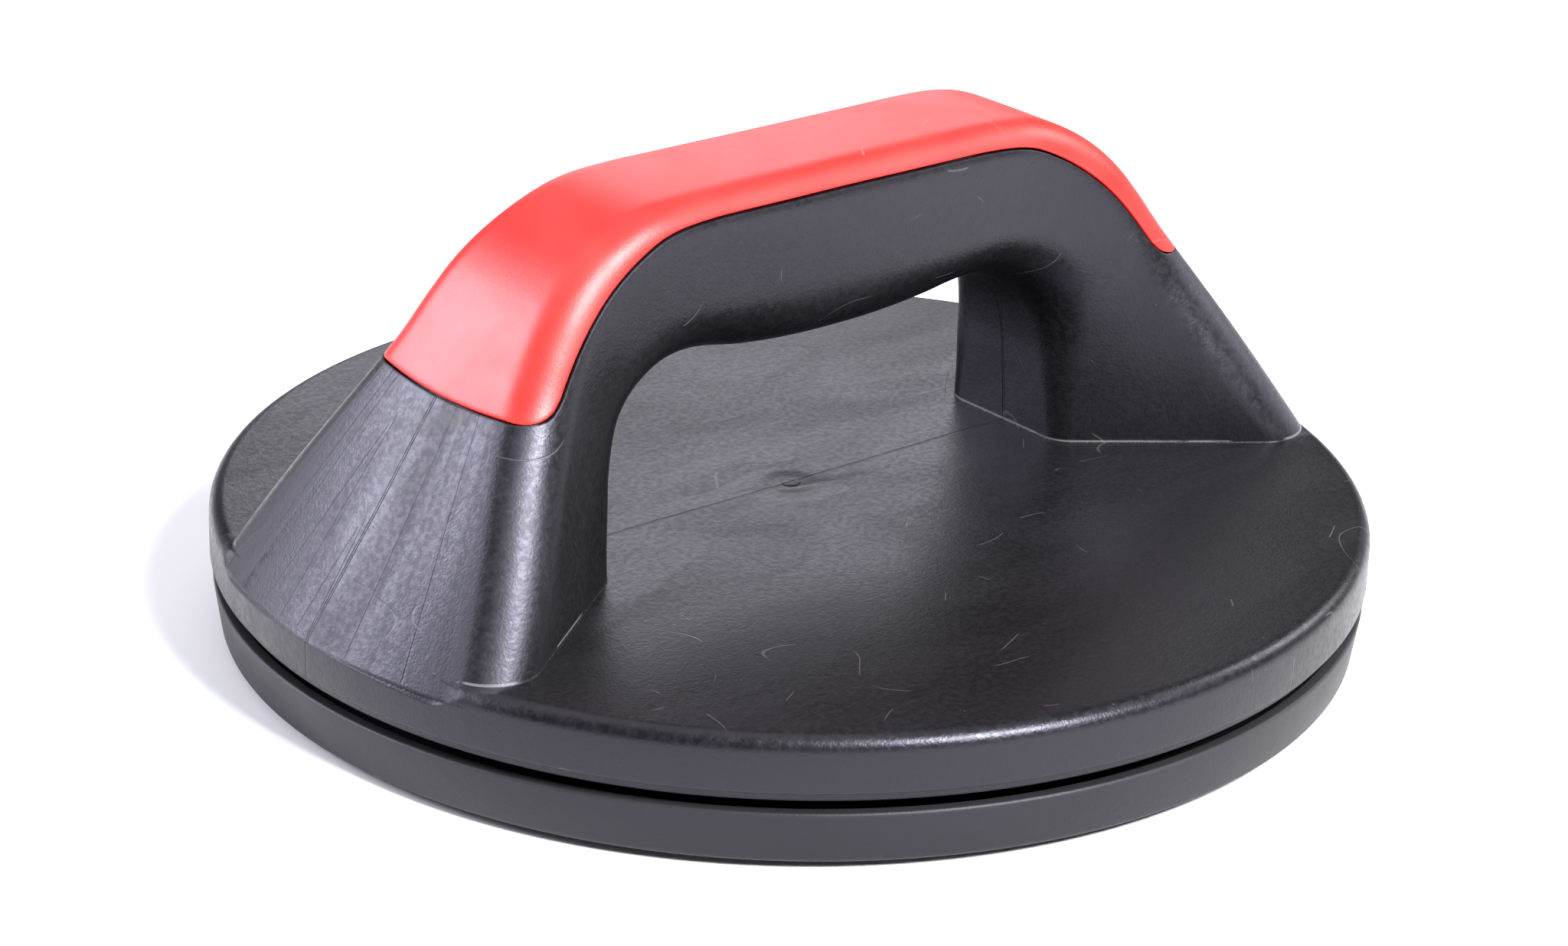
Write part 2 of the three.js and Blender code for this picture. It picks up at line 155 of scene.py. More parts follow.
def arch_at(row):
    """Catmull-Rom value of every arch measure at a row number from 0 to LAST_ROW."""
    k = min(int(row), LAST_ROW)
    w = row - k
    p0, p1 = ARCH[max(k - 1, 0)], ARCH[k]
    p2, p3 = ARCH[min(k + 1, LAST_ROW)], ARCH[min(k + 2, LAST_ROW)]
    a, b = (p2 - p0) / 2, (p3 - p1) / 2
    values = (2 * p1 - 2 * p2 + a + b) * w**3 + (-3 * p1 + 3 * p2 - 2 * a - b) * w**2 + a * w + p1
    values[1] = min(values[1], TOP_Z)
    return values


# ---------- cross-sections of the arch ----------
SIDE_INSET = 1.1        # an inset section's sides move in by this much of the inset
SMALLEST_R = 1.5


def bezier(p0, p1, p2, p3, steps):
    t = np.linspace(0, 1, steps + 1)[:, None]
    return (1 - t)**3 * p0 + 3 * (1 - t)**2 * t * p1 + 3 * (1 - t) * t * t * p2 + t**3 * p3


def unit(v):
    return v / np.linalg.norm(v)


def half_angle(a, b):
    """Half the angle between two unit vectors."""
    return math.acos(np.clip(a @ b, -1, 1)) / 2


def arc_handle(half, radius):
    """Length of the Bezier handles that turn a corner of this half angle at a radius."""
    return 4 / 3 * math.tan((math.pi - 2 * half) / 4) * radius


def corner_curve(before, tangent, corner, after, radius, steps):
    """A smooth corner: from before, along tangent, round to the line from corner to after."""
    to_after = unit(after - corner)
    half = half_angle(unit(before - corner), to_after)
    handle = arc_handle(half, radius)
    end = corner + to_after * (radius / math.tan(half))
    return bezier(before, before + tangent * handle, end - to_after * handle, end, steps)


def half_outline(row, inset=0.0):
    """Half of a section as (side, depth) points, middle of the outer face to middle of the inner.

    The outer face is bowed, and its edge b and the inner corner c are rounded.
    """
    ox, oz, ix, iz, wide, narrow, r_out, r_in, bow, _ = arch_at(row)
    outer, inner = np.array([ox, oz]), np.array([ix, iz])
    depth = np.linalg.norm(inner - outer)
    wide -= inset * SIDE_INSET
    narrow -= inset * SIDE_INSET
    r_out = max(r_out - inset, SMALLEST_R)
    r_in = max(min(r_in - inset, narrow * 0.95), SMALLEST_R)
    b = np.array([wide, bow * wide * wide + inset])
    c = np.array([narrow, depth - inset])
    middle = np.array([0.0, depth - inset])
    to_c = unit(c - b)
    # the chord of the bowed face's outer two fifths: 1 - 0.6 * 0.6 of the bow lies there
    chord = unit(np.array([0.4 * wide, bow * wide * wide * 0.64]))
    start = wide - r_out / math.tan(half_angle(-chord, to_c)) * chord[0]
    face = [np.array([y, bow * y * y + inset]) for y in np.linspace(0, start, FACE_STEPS + 1)]
    slope = unit(np.array([1.0, 2 * bow * start]))
    first = corner_curve(face[-1], slope, b, c, r_out, CORNER_STEPS)
    before = c - to_c * (r_in / math.tan(half_angle(-to_c, np.array([-1.0, 0.0]))))
    side = np.linspace(first[-1], before, 9)
    second = corner_curve(before, to_c, c, middle, r_in, 12)
    rest = np.linspace(second[-1], middle, 4)
    points = np.vstack([face[:-1], first[:-1], side[:-1], second[:-1], rest])
    return points, outer, (inner - outer) / depth


def to_space(section, points):
    """Puts (side, depth) points of a section into its plane in space."""
    _, outer, direction = section
    xz = outer + points[:, 1:2] * direction
    return np.column_stack([xz[:, 0], points[:, 0], xz[:, 1]])


def arch_loop(row):
    """The whole closed outline of a section."""
    section = half_outline(row)
    right = to_space(section, section[0])
    left = right[1:-1][::-1] * (1, -1, 1)
    return np.vstack([right, left])


# ---------- the cover's own grid ----------
ROW_STEP = 0.05
SHARES = np.linspace(0, 1, 161)     # from the middle of the outer face to the cover's seam
END_BOW = 0.004                     # bow of the cover's end line
END_ROWS = (2.2, 7.0)               # rows between which that line lies


def cap_surface(inset, grow):
    """The outer slice of the arch as a table [row][share] of points, from the middle to the seam."""
    table = []
    for row in np.linspace(0, LAST_ROW, round(LAST_ROW / ROW_STEP) + 1):
        section = half_outline(row, inset)
        points = section[0]
        deep = points[:, 1] - (arch_at(row)[9] + grow)
        wide = points[:, 0] - (COVER_END_HALF + grow)
        beyond = np.maximum(deep, wide)
        k = int(np.argmax(beyond >= 0)) or len(points) - 1
        share = -beyond[k - 1] / (beyond[k] - beyond[k - 1])
        kept = np.vstack([points[:k], points[k - 1] + share * (points[k] - points[k - 1])])
        lengths = np.concatenate([[0], np.cumsum(np.linalg.norm(np.diff(kept, axis=0), axis=1))])
        at = SHARES * lengths[-1]
        even = [np.interp(at, lengths, kept[:, 0]), np.interp(at, lengths, kept[:, 1])]
        table.append(to_space(section, np.column_stack(even)))
    return np.array(table)


def on_surface(table, rows, q):
    """Points at several rows and one signed share q of the way to the seam."""
    at = np.clip(np.asarray(rows) / ROW_STEP, 0, len(table) - 1.001)
    i = at.astype(int)
    u = (at - i)[:, None]
    across = min(abs(q) * (len(SHARES) - 1), len(SHARES) - 1.001)
    j = int(across)
    v = across - j
    low = table[i, j] * (1 - v) + table[i, j + 1] * v
    high = table[i + 1, j] * (1 - v) + table[i + 1, j + 1] * v
    return (low * (1 - u) + high * u) * (1, 1 if q >= 0 else -1, 1)


def end_row(table, q, grow):
    """The row where the cover's end line, square to the post's face, crosses share q."""
    normal = unit(np.array([1, FACE_SLOPE]))
    radius = COVER_CORNER + grow
    rows = np.arange(*END_ROWS, ROW_STEP)
    x, y, z = on_surface(table, rows, q).T
    across = table[np.round(rows / ROW_STEP).astype(int)]
    widths = np.linalg.norm(np.diff(across, axis=1), axis=2).sum(axis=1)
    over = np.clip(radius - (1 - abs(q)) * widths, 0, radius)
    line = END_BOW * y * y + radius - np.sqrt(radius**2 - over**2) - grow
    past = (z - COVER_END[1]) * normal[0] - (x - COVER_END[0]) * normal[1] - line
    k = int(np.argmax(past >= 0))
    return rows[k] - past[k] / (past[k] - past[k - 1]) * ROW_STEP


def cap_grid(inset, grow, along, across):
    """Points of the cover's surface, [along][across], inset and with its outline grown."""
    table = cap_surface(inset, grow)
    even = np.linspace(-1, 1, across)
    grid = np.zeros((along, across, 3))
    for j, q in enumerate(0.55 * np.sin(math.pi / 2 * even) + 0.45 * even):
        start = end_row(table, q, grow)
        grid[:, j] = on_surface(table, start + (LAST_ROW - 2 * start) * np.linspace(0, 1, along), q)
    return grid


# ---------- meshes ----------
def mesh_object(name, points, faces):
    """A scene object from points in millimetres, doubles joined and faces turned outwards."""
    mesh = bpy.data.meshes.new(name)
    mesh.from_pydata((np.asarray(points) * MM).tolist(), [], faces)
    tidy = bmesh.new()
    tidy.from_mesh(mesh)
    bmesh.ops.remove_doubles(tidy, verts=tidy.verts, dist=1e-7)
    bmesh.ops.recalc_face_normals(tidy, faces=tidy.faces)
    tidy.to_mesh(mesh)
    tidy.free()
    obj = bpy.data.objects.new(name, mesh)
    bpy.context.scene.collection.objects.link(obj)
    return obj


def loft(name, loops):
    """A closed solid through loops of equally many points, with flat ends."""
    count = len(loops[0])
    faces = []
    for k in range(len(loops) - 1):
        for i in range(count):
            j = (i + 1) % count
            faces.append((k * count + i, k * count + j, (k + 1) * count + j, (k + 1) * count + i))
    faces.append(tuple(range(count))[::-1])
    faces.append(tuple((len(loops) - 1) * count + i for i in range(count)))
    return mesh_object(name, np.vstack(loops), faces)


def grid_solid(name, top, rims, bottom):
    """A closed slab: a top grid, rim grids of which only the border is used, a bottom grid."""
    along, across = top.shape[:2]
    border = [(i, 0) for i in range(along)]
    border += [(along - 1, j) for j in range(1, across)]
    border += [(i, across - 1) for i in range(along - 2, -1, -1)]
    border += [(0, j) for j in range(across - 2, 0, -1)]
    points = list(top.reshape(-1, 3))
    ring = [i * across + j for i, j in border]
    faces = []

    def quads(base, flip):
        for i in range(along - 1):
            for j in range(across - 1):
                a = base + i * across + j
                quad = (a, a + across, a + across + 1, a + 1)
                faces.append(quad[::-1] if flip else quad)

    def join(old, new):
        for k in range(len(old)):
            m = (k + 1) % len(old)
            faces.append((old[k], new[k], new[m], old[m]))

    quads(0, False)
    for rim in rims:
        start = len(points)
        points += [rim[i, j] for i, j in border]
        new = list(range(start, start + len(border)))
        join(ring, new)
        ring = new
    base = len(points)
    points += list(bottom.reshape(-1, 3))
    join(ring, [base + i * across + j for i, j in border])
    quads(base, True)
    return mesh_object(name, points, faces)


def turned(name, profile, segments=256):
    """A solid of revolution about Z from a closed list of (radius, z) points."""
    points, rings = [], []
    for r, z in profile:
        start = len(points)
        if r < 1e-6:
            points.append((0, 0, z))
            rings.append([start] * segments)
            continue
        for k in range(segments):
            a = 2 * math.pi * k / segments
            points.append((r * math.cos(a), r * math.sin(a), z))
        rings.append(list(range(start, start + segments)))
    faces = []
    for m in range(len(rings)):
        low, high = rings[m], rings[(m + 1) % len(rings)]
        for k in range(segments):
            j = (k + 1) % segments
            face = []
            for v in (low[k], low[j], high[j], high[k]):
                if v not in face:
                    face.append(v)
            if len(face) > 2:
                faces.append(tuple(face))
    return mesh_object(name, points, faces)


def rounded(profile, radii, steps=5):
    """A closed profile whose corners are rounded; a radius of 0 keeps a corner sharp."""
    out = []
    count = len(profile)
    for k in range(count):
        corner = np.array(profile[k], float)
        radius = radii[k] if k < len(radii) else 0
        if not radius:
            out.append(tuple(corner))
            continue
        back = unit(np.array(profile[k - 1], float) - corner)
        ahead = unit(np.array(profile[(k + 1) % count], float) - corner)
        half = half_angle(back, ahead)
        reach = radius / math.tan(half)
        handle = arc_handle(half, radius)
        start, end = corner + back * reach, corner + ahead * reach
        curve = bezier(start, start - back * handle, end - ahead * handle, end, steps)
        out += [tuple(p) for p in curve]
    return out


def box_on_axis(name, size, z, turn):
    """A box centred on the Z axis at a height and turned about it."""
    rotation = Matrix.Rotation(turn, 3, "Z")
    corners = itertools.product((-0.5, 0.5), repeat=3)
    points = [rotation @ Vector((size[0] * x, size[1] * y, z + size[2] * up)) for x, y, up in corners]
    faces = [(0, 1, 3, 2), (4, 6, 7, 5), (0, 4, 5, 1), (2, 3, 7, 6), (0, 2, 6, 4), (1, 5, 7, 3)]
    return mesh_object(name, [tuple(p) for p in points], faces)


def carve(target, tool, operation):
    """Applies an exact boolean and throws the tool away."""
    modifier = target.modifiers.new("cut", "BOOLEAN")
    modifier.object = tool
    modifier.operation = operation
    modifier.solver = "EXACT"
    bpy.context.view_layer.update()
    graph = bpy.context.evaluated_depsgraph_get()
    mesh = bpy.data.meshes.new_from_object(target.evaluated_get(graph))
    target.modifiers.clear()
    old = target.data
    target.data = mesh
    bpy.data.meshes.remove(old)
    mesh = tool.data
    bpy.data.objects.remove(tool)
    bpy.data.meshes.remove(mesh)


def smooth(obj, degrees=32):
    """Joins doubles, drops spare points and shades smooth, except at edges sharper than the angle."""
    mesh = bmesh.new()
    mesh.from_mesh(obj.data)
    bmesh.ops.remove_doubles(mesh, verts=mesh.verts, dist=2e-6)
    bmesh.ops.dissolve_degenerate(mesh, edges=mesh.edges, dist=1e-6)
    spare = [vertex for vertex in mesh.verts if len(vertex.link_edges) == 2]
    bmesh.ops.dissolve_verts(mesh, verts=spare)
    limit = math.radians(degrees)
    for face in mesh.faces:
        face.smooth = True
    for edge in mesh.edges:
        edge.smooth = len(edge.link_faces) == 2 and edge.calc_face_angle(0) < limit
    mesh.to_mesh(obj.data)
    mesh.free()


def mark_arch(obj):
    """Marks each point of the arch: on an outer face, and how near the middle of its corner, where a
    highlight is painted.
    """
    loops = [arch_loop(row) * MM for row in np.linspace(0, LAST_ROW, ARCH_SECTIONS)]
    count = len(loops[0])
    marks = []
    for i in range(count):
        steps = min(i, count - i)
        nearness = 1 - abs(steps - FACE_STEPS - PAINTED_HIGHLIGHT_PEAK) / PAINTED_HIGHLIGHT_REACH
        marks.append({"face": 1.0 if steps <= FACE_STEPS else 0.0, "corner": max(0.0, nearness)})
    tree = KDTree(ARCH_SECTIONS * count)
    for k, point in enumerate(np.vstack(loops)):
        tree.insert(point, k)
    tree.balance()
    for name in ("face", "corner"):
        layer = obj.data.attributes.new(name, "FLOAT", "POINT")
        for vertex, item in zip(obj.data.vertices, layer.data):
            _, found, distance = tree.find(vertex.co)
            item.value = marks[found % count][name] if distance < MARK_REACH else 0.0


# ---------- pieces ----------
CUT_FULL = 31.0         # half the width over which a post's face cuts the rim to its full depth
CUT_FADE = 7.0          # width over which the cut runs out
CUT_LIFT = 1.6          # how far it lifts off there
CUT_CLEAR = 0.05        # how far it stays inside the face
CUT_Z = (20.5, 27.5)
CUT_HALF = 47.0
CUT_THICK = (8, 0, 4)
FIRST_ROW_RISE = 12.6   # height from the arch's first row to its second
RECESS_GRID = (150, 41)
COVER_GRID = (220, 61)
COVER_EDGE = 0.45       # rounding of the cover's edge


def rim_cutters():
    """What the posts' faces take off the rim's rounded edge, so that they run out into its wall."""
    inward = -unit(np.array([1, FACE_SLOPE]))
    heights = np.linspace(*CUT_Z, 8)
    sides = np.linspace(-CUT_HALF, CUT_HALF, 63)
    surface = np.zeros((len(heights), len(sides), 3))
    for i, z in enumerate(heights):
        bow = arch_at(max(z - FOOT_Z, 0) / FIRST_ROW_RISE)[8]
        for j, y in enumerate(sides):
            fade = np.clip((abs(y) - CUT_FULL) / CUT_FADE, 0, 1)
            depth = bow * y * y + CUT_CLEAR - CUT_LIFT * fade * fade * (3 - 2 * fade)
            x, up = np.array(on_face(z)) + inward * depth
            surface[i, j] = (x, y, up)
    outside = surface + CUT_THICK
    right = grid_solid("rim_cut", outside, [], surface)
    left = grid_solid("rim_cut", outside * (-1, -1, 1), [], surface * (-1, -1, 1))
    return right, left


def recess_cutter():
    """The space for the cover and the gap round it."""
    outside = cap_grid(-2.0, COVER_GAP, *RECESS_GRID)
    return grid_solid("recess", outside, [], cap_grid(COVER_T + 0.5, COVER_GAP, *RECESS_GRID))


def housing():
    """Turntable plate, rim, posts and arch in one, with the recess for the cover."""
    inside = DISC_R - PLATE_T
    band = DISC_R - BAND_IN
    inner, outer = PITCH_R - RACE_HALF, PITCH_R + RACE_HALF
    seat = BALL_Z + RACE_FAR + GAP
    under = PLATE_TOP - PLATE_T
    lip = seat - 1.6
    sink_mark = [
        (5.5, PLATE_TOP), (3.4, PLATE_TOP - 0.16), (1.9, PLATE_TOP - 0.2), (1.7, PLATE_TOP - 0.05),
        (0, PLATE_TOP - 0.05),
    ]
    profile = [
        (0, BOSS_Z), (BOSS_R, BOSS_Z), (BOSS_R, under),
        (inner - SEAT_WALL, under), (inner - SEAT_WALL, lip), (inner - GAP, lip), (inner - GAP, seat),
        (outer + GAP, seat), (outer + GAP, lip), (outer + SEAT_WALL, lip), (outer + SEAT_WALL, under),
        (inside - 1, under), (inside - 1.4, SKIRT_Z), (band, SKIRT_Z), (band, LIP_Z + 0.2),
        (DISC_R, LIP_Z), (DISC_R, PLATE_TOP),
    ] + sink_mark
    radii = [0] * 13 + [0.2, 0, 0.45, RIM_ROUND, 6, 1, 0.3, 0, 0]
    shell = turned("turntable_housing", rounded(profile, radii, 6))
    for tool in rim_cutters():
        carve(shell, tool, "DIFFERENCE")
    arch = loft("arch", [arch_loop(row) for row in np.linspace(0, LAST_ROW, ARCH_SECTIONS)])
    carve(shell, arch, "UNION")
    carve(shell, recess_cutter(), "DIFFERENCE")
    smooth(shell)
    mark_arch(shell)
    return shell


def cover():
    """The red cover, its upper edge rounded in three steps."""
    top = cap_grid(0, -COVER_EDGE, *COVER_GRID)
    rims = []
    for turn in (30, 60, 90):
        a = math.radians(turn)
        grow = -COVER_EDGE * (1 - math.sin(a))
        inset = COVER_EDGE * (1 - math.cos(a))
        rims.append(cap_grid(inset, grow, *COVER_GRID))
    bottom = cap_grid(COVER_T, 0, *COVER_GRID)
    shell = grid_solid("grip_cover_shell", top, rims, bottom)
    smooth(shell, 50)
    return shell


def base():
    """The lower dish: wall, race seat, hub and the groove for the floor ring."""
    inner, outer = PITCH_R - RACE_HALF, PITCH_R + RACE_HALF
    seat = BALL_Z - RACE_FAR - GAP
    lip = seat + 2
    wall_in = BASE_HIGH_R - WALL
    profile = [
        (HUB_R - 1, BASE_Z), (RING_R[0] - GAP, BASE_Z), (RING_R[0] - GAP, RING_TOP + GAP),
        (RING_R[1] + GAP, RING_TOP + GAP), (RING_R[1] + GAP, BASE_Z), (BASE_LOW_R, BASE_Z),
        (BASE_HIGH_R, BASE_TOP), (wall_in, BASE_TOP), (wall_in - 0.6, BASE_FLOOR),
        (RIB_R[1], BASE_FLOOR), (RIB_R[1], HUB_Z[1]), (RIB_R[0], HUB_Z[1]), (RIB_R[0], BASE_FLOOR),
        (outer + SEAT_WALL, BASE_FLOOR), (outer + SEAT_WALL, lip), (outer + GAP, lip), (outer + GAP, seat),
        (inner - GAP, seat), (inner - GAP, lip), (inner - SEAT_WALL, lip), (inner - SEAT_WALL, BASE_FLOOR),
        (HUB_R, BASE_FLOOR), (HUB_R, HUB_Z[1]), (HUB_HOLE, HUB_Z[1]), (HUB_HOLE, HUB_Z[0]),
        (HUB_R - 1, HUB_Z[0]),
    ]
    radii = [0.4, 0.3, 0, 0, 0.3, 1.0, 0.5, 0.5] + [0] * 18
    shell = turned("base_shell", rounded(profile, radii, 5))
    smooth(shell)
    return shell


def ring():
    """The rubber ring under the base, with two grooves in its face."""
    low, high = RING_R
    profile = [
        (low, 0), (89, 0), (89.4, 0.6), (90.2, 0.6), (90.6, 0),
        (95.4, 0), (95.8, 0.6), (96.6, 0.6), (97, 0),
        (high, 0), (high, RING_TOP), (low, RING_TOP),
    ]
    radii = [0.6, 0.15, 0.1, 0.1, 0.15, 0.15, 0.1, 0.1, 0.15, 0.6, 0, 0]
    shell = turned("floor_ring_grip", rounded(profile, radii, 3))
    smooth(shell)
    return shell


def pivot_screw():
    """The pan head screw under the hub, with a cross recess."""
    low, high = HEAD_Z
    profile = [
        (0, low), (HEAD_R - 0.4, low), (HEAD_R, high),
        (SCREW_R, high), (SCREW_R, SCREW_TOP - 1), (0, SCREW_TOP),
    ]
    screw = turned("pivot_screw_pan_head", rounded(profile, [0, 1.2, 0.2, 0, 0.4, 0], 5), 64)
    for turn in (0.4, 0.4 + math.pi / 2):
        carve(screw, box_on_axis("recess", SLOT, low - 0.2, turn), "DIFFERENCE")
    smooth(screw)
    return screw


# ---------- materials ----------
class Graph:
    """A material's nodes, with short calls for the kinds that are used here."""

    def __init__(self, name):
        self.material = bpy.data.materials.new(name)
        self.material.use_nodes = True
        self.tree = self.material.node_tree
        self.shader = self.tree.nodes["Principled BSDF"]
        self.place = self.tree.nodes.new("ShaderNodeTexCoord").outputs["Object"]
        self.x, self.y, self.z = self.split(self.place)

    def node(self, kind, values, output=0, **settings):
        node = self.tree.nodes.new(kind)
        for key, value in settings.items():
            setattr(node, key, value)
        for key, value in values.items():
            if isinstance(value, bpy.types.NodeSocket):
                self.tree.links.new(value, node.inputs[key])
            else:
                node.inputs[key].default_value = value
        return node.outputs[output]

    def split(self, vector):
        node = self.tree.nodes.new("ShaderNodeSeparateXYZ")
        self.tree.links.new(vector, node.inputs[0])
        return node.outputs

    def math(self, operation, a, b=0.0, c=0.0, clamp=False):
        return self.node("ShaderNodeMath", {0: a, 1: b, 2: c}, operation=operation, use_clamp=clamp)

    def times(self, a, b):
        return self.math("MULTIPLY", a, b)

    def plus(self, a, b):
        return self.math("ADD", a, b)

    def size(self, a):
        return self.math("ABSOLUTE", a)

    def band(self, value, low, high, low_out=0.0, high_out=1.0):
        """Smooth step from low to high."""
        values = {0: value, 1: low, 2: high, 3: low_out, 4: high_out}
        return self.node("ShaderNodeMapRange", values, interpolation_type="SMOOTHSTEP")

    def stretch(self, x, y, z):
        return self.node("ShaderNodeMapping", {"Vector": self.place, "Scale": (x, y, z)})

    def mark(self, name):
        """A value that is stored on the mesh's points."""
        return self.node("ShaderNodeAttribute", {}, "Fac", attribute_name=name)

    def joined(self, x, y, z):
        return self.node("ShaderNodeCombineXYZ", {0: x, 1: y, 2: z})

    def distance(self, x, y):
        """The length of (x, y)."""
        return self.node("ShaderNodeVectorMath", {0: self.joined(x, y, 0.0)}, 1, operation="LENGTH")

    def larger(self, a, b):
        return self.math("MAXIMUM", a, b)

    def noise(self, scale, detail=2.0, vector=None, rough=0.5, twist=0.0):
        values = {"Vector": vector or self.place, "Scale": scale, "Detail": detail}
        values |= {"Roughness": rough, "Distortion": twist}
        return self.node("ShaderNodeTexNoise", values)

    def mix(self, share, a, b):
        node = self.tree.nodes.new("ShaderNodeMix")
        node.data_type = "RGBA"
        for socket, value in ((node.inputs[0], share), (node.inputs[6], a), (node.inputs[7], b)):
            if isinstance(value, bpy.types.NodeSocket):
                self.tree.links.new(value, socket)
            else:
                socket.default_value = value
        return node.outputs[2]

    def soft_edges(self, radius):
        """The normal with sharp edges rounded off."""
        node = self.tree.nodes.new("ShaderNodeBevel")
        node.samples = 4
        node.inputs["Radius"].default_value = radius
        return node.outputs[0]

    def bump(self, height, depth, normal=None):
        values = {"Height": height, "Strength": 1.0, "Distance": depth}
        if normal:
            values["Normal"] = normal
        return self.node("ShaderNodeBump", values)

    def set(self, **values):
        for key, value in values.items():
            socket = self.shader.inputs[key.replace("_", " ")]
            if isinstance(value, bpy.types.NodeSocket):
                self.tree.links.new(value, socket)
            else:
                socket.default_value = value
        return self.material


VIOLET = (1.0, 0.95, 1.18)      # the black plastic's tint


def grey(value, tint=(1, 1, 1)):
    return (*[value * t for t in tint], 1)


def scratches(g, scale, width, share, seed):
    """Short curved hairline scratches: level lines of a smooth noise, kept only in patches."""
    moved = g.node("ShaderNodeMapping", {"Vector": g.place, "Location": (seed, seed * 1.7, 0)})
    level = g.size(g.plus(g.noise(scale, 0.0, moved), -0.5))
    patches = g.band(g.noise(scale * 2.3, 1.0, moved), share, share + 0.04)
    return g.times(g.band(level, 0.0, width, 1.0, 0.0), patches)


def grained(g, grain=1.0):
    """Bump of spark-eroded moulded plastic: a fine grain on a faint waviness."""
    fine = g.noise(1900, 2.0)
    soft = g.noise(820, 2.0)
    waves = g.noise(28, 2.0)
    normal = g.bump(waves, 0.00012, g.soft_edges(0.0006))
    normal = g.bump(soft, 0.000024 * grain, normal)
    return g.bump(fine, 0.000050 * grain, normal)


def specks(g, scale, size, share):
    """Dust: small dots at random points, kept only in patches."""
    cells = g.node("ShaderNodeTexVoronoi", {"Vector": g.place, "Scale": scale, "Randomness": 1.0})
    dots = g.band(cells, 0.0, size, 1.0, 0.0)
    patches = g.band(g.noise(scale * 0.37, 1.0), share, share + 0.04)
    return g.times(dots, patches)


def parting_line(g):
    """The fine line along X where the mould's halves meet, up to the cover."""
    drift = g.times(g.plus(g.noise(30, 1.0), -0.5), 0.0012)
    line = g.band(g.size(g.plus(g.y, drift)), 0.00012, 0.00040, 1.0, 0.0)
    return g.times(line, g.band(g.z, 0.064, 0.066, 1.0, 0.0))


def post_streaks(g, post):
    """Soft streaks and thin rays that fan out as they run down the posts' outer faces."""
    fan = g.math("DIVIDE", g.y, g.plus(0.102, g.times(g.z, -1.0)))
    place_soft = g.joined(g.times(fan, 10.0), g.times(g.z, 9.0), g.times(g.x, 3.0))
    soft = g.times(g.band(g.noise(1.0, 3.0, place_soft, 0.55, 0.4), 0.40, 0.70), post)
    place_thin = g.joined(g.times(fan, 8.0), g.times(g.z, 3.0), g.times(g.x, 9.0))
    thin = g.size(g.plus(g.noise(1.0, 0.0, place_thin), -0.5))
    return soft, g.times(g.band(thin, 0.0, 0.006, 1.0, 0.0), post)


def end_scuffs(g, post):
    """Pale scuffs under the cover's ends and along the parting line."""
    near_end = g.times(post, g.band(g.z, 0.044, 0.058))
    near_end = g.times(near_end, g.band(g.size(g.y), 0.005, 0.017, 1.0, 0.15))
    line_wear = g.times(g.band(g.size(g.y), 0.0004, 0.0030, 1.0, 0.0), post)
    line_noise = g.noise(90, 4.0, g.stretch(1.0, 1.0, 0.35), 0.7)
    line_wear = g.times(line_wear, g.band(line_noise, 0.46, 0.66))
    end_noise = g.noise(170, 4.0, g.stretch(1.0, 0.6, 1.0), 0.7)
    return g.larger(g.times(g.band(end_noise, 0.48, 0.70), near_end), g.times(line_wear, 0.6))


def foot_pale_line(g):
    """A broken pale line painted where the posts' sides meet the plate."""
    line = g.times(g.band(g.z, 0.02566, 0.02580), g.band(g.z, 0.0260, 0.0262, 1.0, 0.0))
    off_face = g.math("SUBTRACT", 1.0, g.mark("face"), clamp=True)
    return g.times(line, g.times(g.band(g.noise(60, 3.0), 0.42, 0.5), off_face))


def gate_bumps(g, normal):
    """Ripples and a small sink mark round the mould's gate in the middle of the plate."""
    around = g.band(g.distance(g.x, g.times(g.y, 1.6)), 0.006, 0.034, 1.0, 0.0)
    ripples = g.times(g.noise(48, 1.0, g.stretch(0.8, 1.9, 1.0), 0.4, 0.6), around)
    sunken = g.band(g.distance(g.x, g.y), 0.001, 0.011, -1.0, 0.0)
    return g.bump(sunken, 0.00055, g.bump(ripples, 0.0009, normal))


